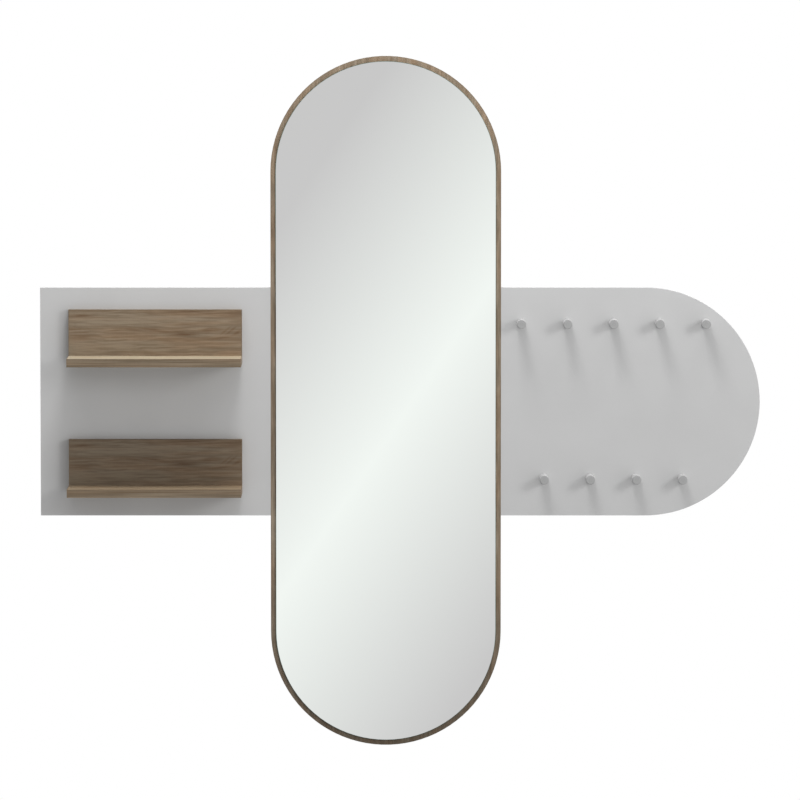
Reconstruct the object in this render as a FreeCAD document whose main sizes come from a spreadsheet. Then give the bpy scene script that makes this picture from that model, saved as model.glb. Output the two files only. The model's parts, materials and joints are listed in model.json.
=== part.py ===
import FreeCAD, Part
import math
import os
import re

import Sketcher

# Wall-hung coat rack: a pill-shaped mirror between a square panel with two shelves
# and a round-ended panel with nine pegs.
# Millimetres. +X points right, +Z up, the wall is the plane y = 0 and the room lies towards -Y.
# The origin is on the wall, behind the centre of the mirror.

SIZES = {
    # boards and their edge bands
    "board_thickness": 18.0,
    "edging_thickness": 1.0,
    "wall_gap": 6.0,
    "mirror_board_width": 500.0,
    "mirror_board_height": 1500.0,
    "panel_height": 496.0,
    "left_panel_width": 500.0,
    "right_panel_width": 562.0,
    # mirror and its mounting tapes
    "mirror_border": 11.0,
    "glass_thickness": 3.0,
    "glass_arris": 0.8,
    "tape_thickness": 1.0,
    "tape_width": 20.0,
    "tape_end_inset": 150.0,
    "tape_side_inset": 70.0,
    # shelves
    "shelf_width": 376.0,
    "shelf_depth": 120.0,
    "shelf_back_height": 100.0,
    "upper_shelf_margin": 47.0,
    "lower_shelf_margin": 49.0,
    # pegs
    "peg_diameter": 20.0,
    "peg_length": 45.0,
    "peg_chamfer": 1.0,
    "peg_bore_spare": 2.0,
    "peg_first_inset": 44.0,
    "peg_last_inset": 118.0,
    "upper_peg_inset": 77.0,
    "lower_peg_inset": 81.0,
    # dowels
    "dowel_diameter": 8.0,
    "dowel_length": 30.0,
    "dowel_chamfer": 1.0,
    "joint_dowel_inset": 50.0,
    "shelf_dowel_inset": 98.0,
    "shelf_dowel_depth": 12.0,
    # screws: the bite is how far one goes into the second piece
    "peg_screw_diameter": 5.0,
    "peg_screw_head_diameter": 9.5,
    "peg_screw_bite": 20.0,
    "shelf_board_screw_diameter": 4.5,
    "shelf_board_screw_head_diameter": 8.8,
    "shelf_board_screw_bite": 42.0,
    "shelf_board_screw_inset": 48.0,
    "shelf_back_screw_diameter": 4.0,
    "shelf_back_screw_head_diameter": 8.0,
    "shelf_back_screw_bite": 12.0,
    "shelf_back_screw_inset": 58.0,
    "plate_screw_diameter": 4.0,
    "plate_screw_head_diameter": 8.0,
    "plate_screw_head_height": 2.2,
    "plate_screw_length": 14.0,
    "recess_span_share": 0.55,
    "recess_width_share": 0.13,
    "recess_depth_share": 0.18,
    # joining plates across the two butt joints
    "joining_plate_length": 100.0,
    "joining_plate_height": 30.0,
    "joining_plate_thickness": 2.0,
    "joining_plate_corner": 4.0,
    "joining_plate_inset": 118.0,
    "joining_hole_near": 18.0,
    "joining_hole_end_inset": 10.0,
    # keyhole hangers, bent from strip
    "hanger_width": 70.0,
    "hanger_height": 40.0,
    "hanger_gauge": 1.5,
    "hanger_raise": 3.0,
    "hanger_channel_width": 40.0,
    "hanger_bend_radius": 1.0,
    "keyhole_entry_radius": 5.0,
    "keyhole_entry_drop": 7.0,
    "keyhole_slot_width": 5.2,
    "keyhole_slot_length": 15.0,
    "mirror_hanger_inset": 100.0,
    "mirror_hanger_drop": 250.0,
    "side_hanger_drop": 43.0,
    "round_end_to_hanger": 64.0,
    # wall bumpers
    "bumper_diameter": 20.0,
    "bumper_chamfer": 1.0,
    "bumper_inset": 30.0,
    "mirror_bumper_inset": 70.0,
    # fits
    "hole_clearance": 0.1,
    "cut_overrun": 1.0,
}

doc = FreeCAD.newDocument("coat_rack_with_mirror")
sheet = doc.addObject("Spreadsheet::Sheet", "dims")
for row, (alias, value) in enumerate(SIZES.items(), start=1):
    sheet.set(f"A{row}", alias)
    sheet.set(f"B{row}", str(value))
    sheet.setAlias(f"B{row}", alias)
doc.recompute()

SIZE_NAME = re.compile(r"[a-z][a-z_]*")
ORIGIN, VERTICAL_AXIS = range(-1, -3, -1)
START, END, CENTRE = range(1, 4)
SAME_PLACE = 1e-6

UPRIGHT = FreeCAD.Rotation()
TOWARDS_ROOM = FreeCAD.Rotation(FreeCAD.Vector(1, 0, 0), 90)
TOWARDS_WALL = FreeCAD.Rotation(FreeCAD.Vector(1, 0, 0), -90)
ALONG_X = FreeCAD.Rotation(FreeCAD.Vector(0, 1, 0), 90)

# Planes and places that several pieces share, as formulas of the named sizes
BOARD_BACK = "-wall_gap"
BOARD_MIDDLE = "-wall_gap - board_thickness/2"
BOARD_FRONT = "-wall_gap - board_thickness"
SHELF_BACK_FRONT = f"{BOARD_FRONT} - board_thickness"
SHELF_FRONT = f"{BOARD_FRONT} - shelf_depth"
LEFT_JOINT = "-mirror_board_width/2"
RIGHT_JOINT = "mirror_board_width/2"
LEFT_END = f"{LEFT_JOINT} - left_panel_width"
LEFT_CENTRE = f"{LEFT_JOINT} - left_panel_width/2"
ROUND_CENTRE = "right_panel_width - panel_height/2"
PANEL_TOP = "panel_height/2"
SHELF_LEFT = f"{LEFT_CENTRE} - shelf_width/2"
SHELF_RIGHT = f"{LEFT_CENTRE} + shelf_width/2"
MIRROR_RADIUS = "mirror_board_width/2"
MIRROR_TOP = "mirror_board_height/2"
MIRROR_STRAIGHT = f"({MIRROR_TOP} - {MIRROR_RADIUS})"
PEG_PITCH = "(right_panel_width - peg_first_inset - peg_last_inset)/4"
HANGER_BRIDGE = "hanger_channel_width/2 + hanger_gauge"
HANGER_SCREW = f"(hanger_width/2 + {HANGER_BRIDGE})/2"
JOINING_HOLE_FAR = "(joining_plate_length/2 - joining_hole_end_inset)"
PLATE_HOLE_RADIUS = "plate_screw_diameter/2 + hole_clearance"
SHELF_TOPS = {
    "upper": f"{PANEL_TOP} - upper_shelf_margin - shelf_back_height",
    "lower": f"-{PANEL_TOP} + lower_shelf_margin + board_thickness",
}

nodes = {}
drillings = []


def cells(text):
    """A formula of named sizes, as references to the sheet's cells."""
    return SIZE_NAME.sub(lambda found: f"dims.{found[0]}", text)


def number(text):
    """The value of a formula of named sizes, for the first place of sketch geometry."""
    plain = SIZE_NAME.sub(lambda found: f"({SIZES[found[0]]})", text)
    return FreeCAD.Units.parseQuantity(plain).Value


def place(target, x="0", y="0", z="0", rotation=UPRIGHT):
    target.Placement = FreeCAD.Placement(FreeCAD.Vector(), rotation)
    for axis, text in zip("xyz", (x, y, z)):
        target.setExpression(f"Placement.Base.{axis}", cells(text))
    return target


def node(label, target, solids=1):
    """Hand a finished piece in under its own name, with the number of solids it must have."""
    target.Label = label
    nodes[label] = (target, solids)


# Sketches


def new_body(name):
    return doc.addObject("PartDesign::Body", name)


def new_sketch(body, role, offset="0"):
    sketch = body.newObject("Sketcher::SketchObject", f"{body.Name}_sketch")
    plane = next(feature for feature in body.Origin.OriginFeatures if feature.Role == role)
    sketch.AttachmentSupport = (plane, "")
    sketch.MapMode = "FlatFace"
    sketch.setExpression("AttachmentOffset.Base.z", cells(offset))
    return sketch


def datum(sketch, kind, *where, formula):
    index = sketch.addConstraint(Sketcher.Constraint(kind, *where, number(formula)))
    sketch.setExpression(f"Constraints[{index}]", cells(formula))


def fix_point(sketch, geometry, point, x, y):
    datum(sketch, "DistanceX", ORIGIN, START, geometry, point, formula=x)
    datum(sketch, "DistanceY", ORIGIN, START, geometry, point, formula=y)


def point_at(x, y):
    return FreeCAD.Vector(number(x), number(y), 0)


def draw_polygon(sketch, corners):
    first = sketch.GeometryCount
    count = len(corners)
    for index in range(count):
        following = corners[(index + 1) % count]
        sketch.addGeometry(Part.LineSegment(point_at(*corners[index]), point_at(*following)))
    for index in range(count):
        following = first + (index + 1) % count
        sketch.addConstraint(Sketcher.Constraint("Coincident", first + index, END, following, START))
    for index, (x, y) in enumerate(corners):
        fix_point(sketch, first + index, START, x, y)


def draw_rectangle(sketch, half_width, half_height):
    left, low = f"-({half_width})", f"-({half_height})"
    draw_polygon(sketch, [(left, low), (half_width, low), (half_width, half_height), (left, half_height)])


def draw_circle(sketch, x, y, radius):
    circle = Part.Circle(point_at(x, y), FreeCAD.Vector(0, 0, 1), number(radius))
    index = sketch.addGeometry(circle)
    fix_point(sketch, index, CENTRE, x, y)
    datum(sketch, "Radius", index, formula=radius)


def draw_half_circle(sketch, x, y, radius, first_angle):
    circle = Part.Circle(point_at(x, y), FreeCAD.Vector(0, 0, 1), number(radius))
    return sketch.addGeometry(Part.ArcOfCircle(circle, first_angle, first_angle + math.pi))


def draw_pill(sketch, radius, low, high):
    """An upright outline with round ends, centred on the vertical axis."""
    left = sketch.addGeometry(Part.LineSegment(point_at(f"-({radius})", high), point_at(f"-({radius})", low)))
    bottom = draw_half_circle(sketch, "0", low, radius, math.pi)
    right = sketch.addGeometry(Part.LineSegment(point_at(radius, low), point_at(radius, high)))
    top = draw_half_circle(sketch, "0", high, radius, 0)
    ring = [left, bottom, right, top]
    for index, one in enumerate(ring):
        following = ring[(index + 1) % len(ring)]
        sketch.addConstraint(Sketcher.Constraint("Tangent", one, END, following, START))
    sketch.addConstraint(Sketcher.Constraint("Vertical", left))
    datum(sketch, "Radius", top, formula=radius)
    for arc, height in ((bottom, low), (top, high)):
        sketch.addConstraint(Sketcher.Constraint("PointOnObject", arc, CENTRE, VERTICAL_AXIS))
        datum(sketch, "DistanceY", ORIGIN, START, arc, CENTRE, formula=height)


def draw_half_round(sketch, left, centre, radius):
    """A panel outline that is square at the left and half round at the right."""
    low = f"-({radius})"
    edge = sketch.addGeometry(Part.LineSegment(point_at(left, radius), point_at(left, low)))
    bottom = sketch.addGeometry(Part.LineSegment(point_at(left, low), point_at(centre, low)))
    end = draw_half_circle(sketch, centre, "0", radius, -math.pi / 2)
    top = sketch.addGeometry(Part.LineSegment(point_at(centre, radius), point_at(left, radius)))
    sketch.addConstraint(Sketcher.Constraint("Coincident", edge, END, bottom, START))
    sketch.addConstraint(Sketcher.Constraint("Tangent", bottom, END, end, START))
    sketch.addConstraint(Sketcher.Constraint("Tangent", end, END, top, START))
    sketch.addConstraint(Sketcher.Constraint("Coincident", top, END, edge, START))
    sketch.addConstraint(Sketcher.Constraint("Vertical", edge))
    sketch.addConstraint(Sketcher.Constraint("Horizontal", bottom))
    sketch.addConstraint(Sketcher.Constraint("Horizontal", top))
    datum(sketch, "DistanceX", ORIGIN, START, edge, START, formula=left)
    datum(sketch, "Radius", end, formula=radius)
    fix_point(sketch, end, CENTRE, centre, "0")


# Features


def pad(body, sketch, length):
    feature = body.newObject("PartDesign::Pad", f"{body.Name}_pad")
    feature.Profile = sketch
    feature.setExpression("Length", cells(length))
    doc.recompute()
    return feature


def pocket(body, sketch, depth, into_normal=False):
    """A cut against the sketch's normal, or along it, which must take material away."""
    before = body.Shape.Volume
    feature = body.newObject("PartDesign::Pocket", f"{body.Name}_pocket")
    feature.Profile = sketch
    feature.Reversed = into_normal
    feature.setExpression("Length", cells(depth))
    doc.recompute()
    if not body.Shape.Volume < before:
        raise RuntimeError(f"{feature.Label} cuts nothing")
    return feature


def turned(name, profile):
    """A body turned about its own Z axis from a half profile of (radius, height) corners."""
    body = new_body(name)
    sketch = new_sketch(body, "XZ_Plane")
    draw_polygon(sketch, profile)
    feature = body.newObject("PartDesign::Revolution", f"{name}_turning")
    feature.Profile = sketch
    feature.ReferenceAxis = (sketch, ["V_Axis"])
    doc.recompute()
    return body


def dress_edges(body, kind, size, wanted):
    """A fillet or chamfer on the edges of the body that the test picks."""
    base = body.Tip
    names = [f"Edge{index}" for index, edge in enumerate(base.Shape.Edges, start=1) if wanted(edge.BoundBox)]
    feature = body.newObject(f"PartDesign::{kind}", f"{body.Name}_{kind.lower()}")
    feature.Base = (base, names)
    feature.setExpression("Radius" if kind == "Fillet" else "Size", cells(size))
    doc.recompute()
    return feature


def bar(name, x, y, z):
    """A square-edged strip or board between two formulas on each axis."""
    box = doc.addObject("Part::Box", name)
    sides = zip("xyz", ("Length", "Width", "Height"), (x, y, z))
    for axis, length, (low, high) in sides:
        box.setExpression(length, cells(f"({high}) - ({low})"))
        box.setExpression(f"Placement.Base.{axis}", cells(low))
    return box


def group(name, members):
    compound = doc.addObject("Part::Compound", name)
    compound.Links = members
    return compound


def copies(name, master, places, rotation):
    """The same piece at several places, as one group of separate solids."""
    links = []
    for x, y, z in places:
        link = doc.addObject("App::Link", f"{name}_copy")
        link.LinkedObject = master
        links.append(place(link, x, y, z, rotation))
    return group(name, links)


def drilled(blank, *holes):
    """A piece with the holes of its dowels and screws taken out."""
    cut = doc.addObject("Part::Cut", f"{blank.Name}_drilled")
    cut.Base = blank
    cut.Tool = group(f"{blank.Name}_holes", list(holes)) if len(holes) > 1 else holes[0]
    drillings.append((blank, cut))
    return cut


# Fasteners: each has a master piece and a slightly larger master for its hole


def cross_recess(body, head_diameter, height):
    """A cross-shaped driver recess in the top of a screw head."""
    sketch = new_sketch(body, "XY_Plane", height)
    span = f"{head_diameter}*recess_span_share/2"
    arm = f"{head_diameter}*recess_width_share/2"
    quarter = [(span, arm), (arm, arm), (arm, span)]
    corners = []
    for _ in range(4):
        corners += quarter
        quarter = [(f"-({y})", x) for x, y in quarter]
    draw_polygon(sketch, corners)
    pocket(body, sketch, f"{head_diameter}*recess_depth_share", into_normal=True)


def countersunk_screw(kind, tip):
    """A screw with a 90 degree countersunk head, its top at z = 0 and its shank along +Z."""
    shank, head = f"{kind}_diameter/2", f"{kind}_head_diameter/2"
    length = f"board_thickness + {kind}_bite"
    shoulder = f"{length} - {kind}_diameter" if tip == "pointed" else length
    profile = [("0", "0"), (head, "0"), (shank, f"{head} - {shank}"), (shank, shoulder), ("0", length)]
    body = turned(f"{kind}_master", profile)
    cross_recess(body, f"{kind}_head_diameter", "0")
    return body


def countersunk_hole(kind):
    shank, head = f"{kind}_diameter/2", f"{kind}_head_diameter/2"
    wide, narrow = f"{head} + hole_clearance", f"{shank} + hole_clearance"
    end = f"board_thickness + {kind}_bite + hole_clearance"
    above = "-cut_overrun"
    throat = f"{head} - {shank}"
    profile = [("0", above), (wide, above), (wide, "0"), (narrow, throat), (narrow, end), ("0", end)]
    return turned(f"{kind}_hole_master", profile)


def pan_head_screw():
    """A wood screw with a pan head that stands below z = 0 and its shank along +Z."""
    shank, head = "plate_screw_diameter/2", "plate_screw_head_diameter/2"
    top = "-plate_screw_head_height"
    middle = "-plate_screw_head_height/2"
    crown = f"{head} - plate_screw_head_height/2"
    shoulder = "plate_screw_length - plate_screw_diameter"
    profile = [("0", top), (crown, top), (head, middle), (head, "0"), (shank, "0"), (shank, shoulder),
               ("0", "plate_screw_length")]
    body = turned("plate_screw_master", profile)
    cross_recess(body, "plate_screw_head_diameter", top)
    return body


def pan_head_hole():
    end = "plate_screw_length + hole_clearance"
    profile = [("0", "0"), (PLATE_HOLE_RADIUS, "0"), (PLATE_HOLE_RADIUS, end), ("0", end)]
    return turned("plate_screw_hole_master", profile)


def dowel():
    radius, half = "dowel_diameter/2", "dowel_length/2"
    narrow, near = f"{radius} - dowel_chamfer", f"{half} - dowel_chamfer"
    upper = [(radius, near), (narrow, half), ("0", half)]
    profile = [(x, f"-({z})") for x, z in reversed(upper)] + upper
    return turned("dowel_master", profile)


def dowel_hole():
    radius, half = "dowel_diameter/2 + hole_clearance", "dowel_length/2 + hole_clearance"
    bottom = f"-({half})"
    return turned("dowel_hole_master", [("0", bottom), (radius, bottom), (radius, half), ("0", half)])


def fastened(label, piece, hole, places, rotation):
    """Hand in a group of like fasteners and give back the group of their holes."""
    node(label, copies(label, piece, places, rotation), len(places))
    return copies(f"{label}_holes", hole, places, rotation)


# Where the hangers and joining plates sit on the back of the boards

mirror_hanger_height = f"{MIRROR_TOP} - mirror_hanger_drop"
side_hanger_height = f"{PANEL_TOP} - side_hanger_drop"
hanger_places = {
    "mirror_hanger_left": (f"{LEFT_JOINT} + mirror_hanger_inset", mirror_hanger_height),
    "mirror_hanger_right": (f"{RIGHT_JOINT} - mirror_hanger_inset", mirror_hanger_height),
    "left_panel_hanger": (LEFT_CENTRE, side_hanger_height),
    "right_panel_hanger": (f"{RIGHT_JOINT} + {ROUND_CENTRE} - round_end_to_hanger", side_hanger_height),
}
plate_places = {}
for side, joint in (("left", LEFT_JOINT), ("right", RIGHT_JOINT)):
    for level, sign in (("upper", ""), ("lower", "-")):
        plate_places[f"{side}_joining_plate_{level}"] = (joint, f"{sign}({PANEL_TOP} - joining_plate_inset)")

# Screws and dowels

dowel_piece, dowel_bore = dowel(), dowel_hole()
joint_holes = {}
for side, joint in (("left", LEFT_JOINT), ("right", RIGHT_JOINT)):
    reach = f"{PANEL_TOP} - joint_dowel_inset"
    places = [(joint, BOARD_MIDDLE, height) for height in (f"-({reach})", "0", reach)]
    joint_holes[side] = fastened(f"{side}_joint_dowels", dowel_piece, dowel_bore, places, ALONG_X)

shelf_dowel_holes = {}
for level, top in SHELF_TOPS.items():
    height = f"{top} + dowel_length/2 - shelf_dowel_depth"
    depth = f"{BOARD_FRONT} - board_thickness/2"
    ends = (f"{SHELF_LEFT} + shelf_dowel_inset", f"{SHELF_RIGHT} - shelf_dowel_inset")
    places = [(across, depth, height) for across in ends]
    shelf_dowel_holes[level] = fastened(f"{level}_shelf_dowels", dowel_piece, dowel_bore, places, UPRIGHT)

places = []
for top in SHELF_TOPS.values():
    ends = (f"{SHELF_LEFT} + shelf_board_screw_inset", f"{SHELF_RIGHT} - shelf_board_screw_inset")
    for across in (ends[0], LEFT_CENTRE, ends[1]):
        places.append((across, BOARD_BACK, f"{top} - board_thickness/2"))
shelf_board_screw_holes = fastened(
    "shelf_board_screws",
    countersunk_screw("shelf_board_screw", "pointed"),
    countersunk_hole("shelf_board_screw"),
    places,
    TOWARDS_ROOM,
)

places = []
for top in SHELF_TOPS.values():
    for across in (f"{SHELF_LEFT} + shelf_back_screw_inset", f"{SHELF_RIGHT} - shelf_back_screw_inset"):
        places.append((across, BOARD_BACK, f"{top} + shelf_back_height/2"))
shelf_back_screw_holes = fastened(
    "shelf_back_screws",
    countersunk_screw("shelf_back_screw", "pointed"),
    countersunk_hole("shelf_back_screw"),
    places,
    TOWARDS_ROOM,
)

first_peg = f"{RIGHT_JOINT} + peg_first_inset"
peg_places = {}
for index in range(5):
    across = f"{first_peg} + {PEG_PITCH}*{index}"
    peg_places[f"upper_peg_{index + 1}"] = (across, f"{PANEL_TOP} - upper_peg_inset")
for index in range(4):
    across = f"{first_peg} + {PEG_PITCH}/2 + {PEG_PITCH}*{index}"
    peg_places[f"lower_peg_{index + 1}"] = (across, f"-{PANEL_TOP} + lower_peg_inset")
peg_screw_holes = fastened(
    "peg_screws",
    countersunk_screw("peg_screw", "flat"),
    countersunk_hole("peg_screw"),
    [(x, BOARD_BACK, z) for x, z in peg_places.values()],
    TOWARDS_ROOM,
)

places = []
for x, z in hanger_places.values():
    for sign in "-+":
        places.append((f"{x} {sign} {HANGER_SCREW}", f"{BOARD_BACK} + hanger_gauge", z))
for x, z in plate_places.values():
    for sign in "-+":
        for hole in ("joining_hole_near", JOINING_HOLE_FAR):
            places.append((f"{x} {sign} {hole}", f"{BOARD_BACK} + joining_plate_thickness", z))
plate_screw_holes = fastened("plate_screws", pan_head_screw(), pan_head_hole(), places, TOWARDS_ROOM)

# Mirror board, its edge band, the glass and its tapes


def pill_board(name, thickness, *insets):
    """A pill-shaped plate set in from the mirror board's outline, or a ring between two such outlines."""
    body = new_body(name)
    sketch = new_sketch(body, "XZ_Plane")
    for inset in insets:
        draw_pill(sketch, f"{MIRROR_RADIUS} - {inset}", f"-{MIRROR_STRAIGHT}", MIRROR_STRAIGHT)
    pad(body, sketch, thickness)
    return body


board = place(pill_board("mirror_board_blank", "board_thickness", "edging_thickness"), y=BOARD_BACK)
node("mirror_board", drilled(board, joint_holes["left"], joint_holes["right"], plate_screw_holes))

band = place(pill_board("mirror_board_band", "board_thickness", "0", "edging_thickness"), y=BOARD_BACK)
node("mirror_board_edging", drilled(band, joint_holes["left"], joint_holes["right"]))

glass = pill_board("mirror_glass", "glass_thickness", "mirror_border")
glass_front = -number("glass_thickness")
dress_edges(glass, "Chamfer", "glass_arris", lambda box: abs(box.YMax - glass_front) < SAME_PLACE)
node("mirror_glass", place(glass, y=f"{BOARD_FRONT} - tape_thickness"))

tapes = []
outer_tape = f"({MIRROR_RADIUS} - tape_side_inset)"
tape_end = f"{MIRROR_TOP} - tape_end_inset"
for across in (f"-{outer_tape}", f"-{outer_tape}/3", f"{outer_tape}/3", outer_tape):
    x_span = (f"{across} - tape_width/2", f"{across} + tape_width/2")
    y_span = (f"{BOARD_FRONT} - tape_thickness", BOARD_FRONT)
    tapes.append(bar("mirror_tape", x_span, y_span, (f"-({tape_end})", tape_end)))
node("mirror_tapes", group("mirror_tapes", tapes), len(tapes))

# Left panel and its four edge strips

body = new_body("left_panel_blank")
sketch = new_sketch(body, "XZ_Plane")
draw_rectangle(sketch, "left_panel_width/2 - edging_thickness", f"{PANEL_TOP} - edging_thickness")
pad(body, sketch, "board_thickness")
place(body, x=LEFT_CENTRE, y=BOARD_BACK)
left_holes = (joint_holes["left"], shelf_board_screw_holes, shelf_back_screw_holes, plate_screw_holes)
node("left_panel", drilled(body, *left_holes))

board_span = (BOARD_FRONT, BOARD_BACK)
core_top = f"{PANEL_TOP} - edging_thickness"
core_height = (f"-({core_top})", core_top)
strips = [
    bar("left_panel_top_strip", (LEFT_END, LEFT_JOINT), board_span, (core_top, PANEL_TOP)),
    bar("left_panel_bottom_strip", (LEFT_END, LEFT_JOINT), board_span, (f"-{PANEL_TOP}", f"-({core_top})")),
    bar("left_panel_outer_strip", (LEFT_END, f"{LEFT_END} + edging_thickness"), board_span, core_height),
    bar("left_panel_joint_strip", (f"{LEFT_JOINT} - edging_thickness", LEFT_JOINT), board_span, core_height),
]
edging = group("left_panel_strips", strips)
node("left_panel_edging", drilled(edging, joint_holes["left"]), len(strips))

# Right panel, the band round its top, end and bottom, and the strip at its joint


def half_round_board(name, left, inset, thickness):
    body = new_body(name)
    sketch = new_sketch(body, "XZ_Plane")
    draw_half_round(sketch, left, ROUND_CENTRE, f"{PANEL_TOP} - {inset}")
    pad(body, sketch, thickness)
    return body


board = half_round_board("right_panel_blank", "edging_thickness", "edging_thickness", "board_thickness")
place(board, x=RIGHT_JOINT, y=BOARD_BACK)
node("right_panel", drilled(board, joint_holes["right"], peg_screw_holes, plate_screw_holes))

outer = half_round_board("right_panel_outline", "0", "0", "board_thickness")
place(outer, x=RIGHT_JOINT, y=BOARD_BACK)
inner = half_round_board("right_panel_inside", "-cut_overrun", "edging_thickness", "board_thickness")
place(inner, x=RIGHT_JOINT, y=BOARD_BACK)
band = doc.addObject("Part::Cut", "right_panel_band")
band.Base = outer
band.Tool = inner
strip_span = (RIGHT_JOINT, f"{RIGHT_JOINT} + edging_thickness")
strip = bar("right_panel_joint_strip", strip_span, board_span, core_height)
edging = group("right_panel_strips", [band, strip])
node("right_panel_edging", drilled(edging, joint_holes["right"]), 2)

# Shelves: a shelf board on the left panel and a low back board standing on it

core_left, core_right = f"{SHELF_LEFT} + edging_thickness", f"{SHELF_RIGHT} - edging_thickness"
core_front = f"{SHELF_FRONT} + edging_thickness"
back_span = (SHELF_BACK_FRONT, BOARD_FRONT)
for level, top in SHELF_TOPS.items():
    thick_span = (f"{top} - board_thickness", top)
    blank = bar(f"{level}_shelf_board_blank", (core_left, core_right), (core_front, BOARD_FRONT), thick_span)
    node(f"{level}_shelf_board", drilled(blank, shelf_dowel_holes[level], shelf_board_screw_holes))
    strips = [
        bar(f"{level}_shelf_front_strip", (SHELF_LEFT, SHELF_RIGHT), (SHELF_FRONT, core_front), thick_span),
        bar(f"{level}_shelf_left_strip", (SHELF_LEFT, core_left), (core_front, BOARD_FRONT), thick_span),
        bar(f"{level}_shelf_right_strip", (core_right, SHELF_RIGHT), (core_front, BOARD_FRONT), thick_span),
    ]
    node(f"{level}_shelf_board_edging", group(f"{level}_shelf_board_edging", strips), len(strips))

    back_top = f"{top} + shelf_back_height"
    core_back_top = f"{back_top} - edging_thickness"
    blank = bar(f"{level}_shelf_back_blank", (core_left, core_right), back_span, (top, core_back_top))
    node(f"{level}_shelf_back", drilled(blank, shelf_dowel_holes[level], shelf_back_screw_holes))
    strips = [
        bar(f"{level}_back_top_strip", (SHELF_LEFT, SHELF_RIGHT), back_span, (core_back_top, back_top)),
        bar(f"{level}_back_left_strip", (SHELF_LEFT, core_left), back_span, (top, core_back_top)),
        bar(f"{level}_back_right_strip", (core_right, SHELF_RIGHT), back_span, (top, core_back_top)),
    ]
    node(f"{level}_shelf_back_edging", group(f"{level}_shelf_back_edging", strips), len(strips))

# Pegs, turned with a chamfered front and a bore for the screw

peg_radius = "peg_diameter/2"
bore_radius = "peg_screw_diameter/2 + hole_clearance"
bore_depth = "peg_screw_bite + peg_bore_spare"
peg_profile = [
    (bore_radius, "0"),
    (peg_radius, "0"),
    (peg_radius, "peg_length - peg_chamfer"),
    (f"{peg_radius} - peg_chamfer", "peg_length"),
    ("0", "peg_length"),
    ("0", bore_depth),
    (bore_radius, bore_depth),
]
for label, (x, z) in peg_places.items():
    node(label, place(turned(label, peg_profile), x, BOARD_FRONT, z, TOWARDS_ROOM))

# Keyhole hangers: a strip bent up in the middle, so that a screw head fits behind the slot

channel = "hanger_channel_width/2"
flange = "hanger_width/2"
crown = "hanger_raise + hanger_gauge"
hat_half = [(flange, "0"), (flange, "hanger_gauge"), (HANGER_BRIDGE, "hanger_gauge"), (HANGER_BRIDGE, crown)]
hat_inside = [(channel, "hanger_raise"), (channel, "0")]
hat_profile = hat_half + [(f"-({x})", y) for x, y in reversed(hat_half)]
hat_profile += [(f"-({x})", y) for x, y in reversed(hat_inside)] + hat_inside
crown_corner = (number(HANGER_BRIDGE), number(crown))


def is_crown_edge(box):
    """Whether an edge is one of the two outer bends of the hanger."""
    upright = box.ZLength > number("hanger_height") - SAME_PLACE
    across, out = abs(abs(box.XMax) - crown_corner[0]), abs(box.YMax - crown_corner[1])
    return upright and across < SAME_PLACE and out < SAME_PLACE


for label, (x, z) in hanger_places.items():
    body = new_body(label)
    sketch = new_sketch(body, "XY_Plane", "-hanger_height/2")
    draw_polygon(sketch, hat_profile)
    pad(body, sketch, "hanger_height")
    dress_edges(body, "Fillet", "hanger_bend_radius", is_crown_edge)
    through = f"{crown} + cut_overrun"
    sketch = new_sketch(body, "XZ_Plane")
    draw_circle(sketch, "0", "-keyhole_entry_drop", "keyhole_entry_radius")
    for sign in "-+":
        draw_circle(sketch, f"0 {sign} {HANGER_SCREW}", "0", PLATE_HOLE_RADIUS)
    pocket(body, sketch, through)
    sketch = new_sketch(body, "XZ_Plane")
    slot_top = "keyhole_slot_length - keyhole_entry_drop"
    draw_pill(sketch, "keyhole_slot_width/2", "-keyhole_entry_drop", slot_top)
    pocket(body, sketch, through)
    node(label, place(body, x, BOARD_BACK, z))

# Joining plates, flat on the back of the boards across each butt joint

plate_half = "joining_plate_length/2"


def is_plate_corner(box):
    at_end = abs(abs(box.XMax) - number(plate_half)) < SAME_PLACE
    return at_end and box.XLength < SAME_PLACE and box.ZLength < SAME_PLACE


for label, (x, z) in plate_places.items():
    body = new_body(label)
    sketch = new_sketch(body, "XZ_Plane")
    draw_rectangle(sketch, plate_half, "joining_plate_height/2")
    for sign in "-+":
        for hole in ("joining_hole_near", JOINING_HOLE_FAR):
            draw_circle(sketch, f"0 {sign} {hole}", "0", PLATE_HOLE_RADIUS)
    pad(body, sketch, "joining_plate_thickness")
    dress_edges(body, "Fillet", "joining_plate_corner", is_plate_corner)
    node(label, place(body, x, f"{BOARD_BACK} + joining_plate_thickness", z))

# Wall bumpers, as thick as the gap behind the boards

bumper_radius = "bumper_diameter/2"
bumper = turned(
    "wall_bumper_master",
    [
        ("0", "0"),
        (bumper_radius, "0"),
        (bumper_radius, "wall_gap - bumper_chamfer"),
        (f"{bumper_radius} - bumper_chamfer", "wall_gap"),
        ("0", "wall_gap"),
    ],
)
mirror_reach = f"{MIRROR_TOP} - mirror_bumper_inset"
panel_reach = f"{PANEL_TOP} - bumper_inset"
bumper_spots = [
    ("0", "0"),
    ("0", mirror_reach),
    ("0", f"-({mirror_reach})"),
    (f"{LEFT_END} + bumper_inset", panel_reach),
    (f"{LEFT_END} + bumper_inset", f"-({panel_reach})"),
    (f"{RIGHT_JOINT} + {ROUND_CENTRE}", panel_reach),
    (f"{RIGHT_JOINT} + {ROUND_CENTRE}", f"-({panel_reach})"),
    (f"{RIGHT_JOINT} + right_panel_width - bumper_inset", "0"),
]
places = [(x, BOARD_BACK, z) for x, z in bumper_spots]
node("wall_bumpers", copies("wall_bumpers", bumper, places, TOWARDS_WALL), len(places))

# Every object must have come out whole before anything is written

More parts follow.
